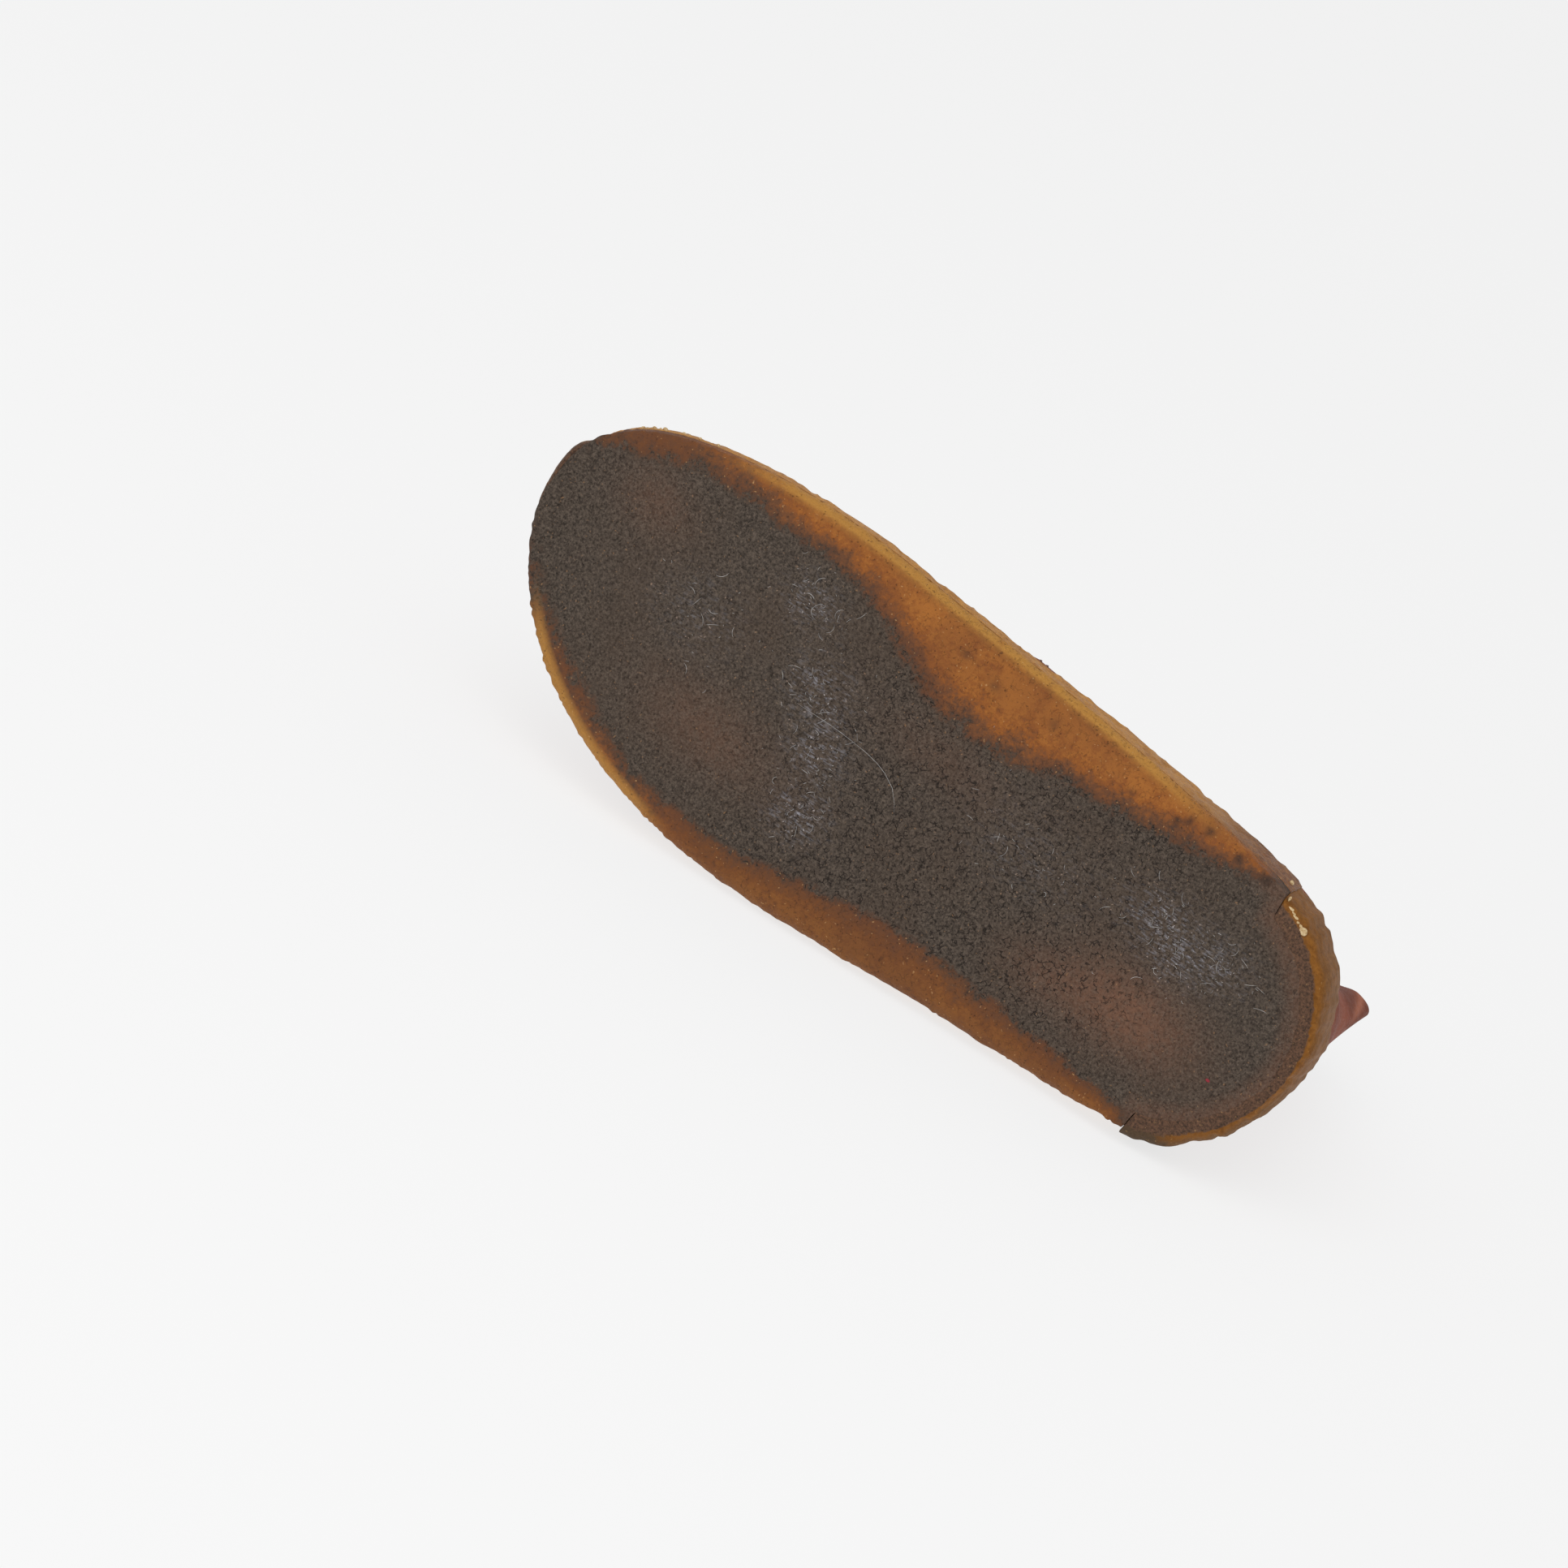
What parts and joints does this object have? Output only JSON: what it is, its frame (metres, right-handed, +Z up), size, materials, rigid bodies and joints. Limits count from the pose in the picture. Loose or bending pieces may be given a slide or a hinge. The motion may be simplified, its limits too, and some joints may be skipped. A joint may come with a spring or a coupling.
{
  "type": "leather boot",
  "caption": "Right ankle boot in brown leather on a thick, worn crepe sole with a glued heel strip, tied with a leather lace and lying on its outer side.",
  "frame": {"origin": "on the floor under the middle of the lying boot, measured without its bow", "axes": "-X towards the toe, -Y out of the tread, +Z up from the floor, towards the inner side of the foot"},
  "size_m": [0.306, 0.2019, 0.1199],
  "materials": {
    "worn_crepe": "worn, dirty and pitted",
    "raw_crepe": "matt crinkled crepe",
    "strip_crepe": "matt crumbly crepe",
    "insole_leather": "matt",
    "brown_leather": "smooth with a soft gloss",
    "tongue_leather": "smooth",
    "lace_leather": "matt"
  },
  "bodies": {
    "root": {"outsole": "worn_crepe", "midsole": "raw_crepe", "heel_wrap": "strip_crepe", "toe_bumper": "strip_crepe", "insole": "insole_leather", "upper": "brown_leather", "tongue": "tongue_leather", "lace_bar_low": "lace_leather", "lace_cross_low": "lace_leather", "lace_cross_high": "lace_leather", "lace_bar_top": "lace_leather", "lace_knot": "lace_leather", "lace_loop_inner": "lace_leather", "lace_loop_outer": "lace_leather", "lace_end_inner": "lace_leather", "lace_end_outer": "lace_leather"}
  },
  "joints": []
}
